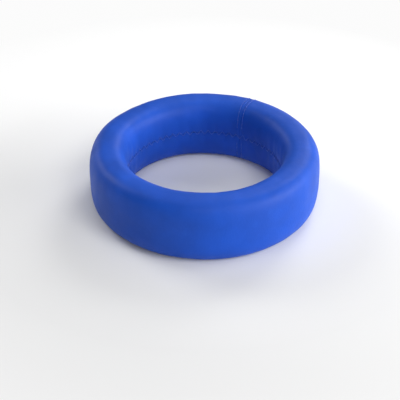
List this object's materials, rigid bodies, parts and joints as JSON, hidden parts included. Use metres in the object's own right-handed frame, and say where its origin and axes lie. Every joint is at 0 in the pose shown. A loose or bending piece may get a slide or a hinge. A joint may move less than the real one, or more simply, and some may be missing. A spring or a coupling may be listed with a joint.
{
  "type": "soft juggling ring",
  "caption": "Soft ring for throwing and catching: a stiff hoop bedded in foam, inside a smooth sewn blue cover with rounded edges.",
  "frame": {"origin": "centre of the flat face that the ring rests on, on the ring's axis", "axes": "+Z along the ring's axis, up; +Y towards the back, where the hoop's joint is"},
  "size_m": [0.24, 0.24, 0.0675],
  "materials": {
    "cover_cloth": "satin, coated stretch cloth, royal blue",
    "thread": "twisted polyester, blue",
    "tape_cloth": "matte cotton tape, off-white",
    "foam": "matte closed-cell foam, off-white",
    "hoop_plastic": "extruded polyethylene, black",
    "plug_plastic": "moulded nylon, natural",
    "pin_metal": "plain turned"
  },
  "bodies": {
    "root": {"cover_sleeve": "cover_cloth", "seam_thread": "thread", "seam_tape": "tape_cloth", "foam_upper": "foam", "foam_lower": "foam", "hoop_tube": "hoop_plastic", "hoop_plug": "plug_plastic", "hoop_pin_1": "pin_metal", "hoop_pin_2": "pin_metal"}
  },
  "joints": []
}
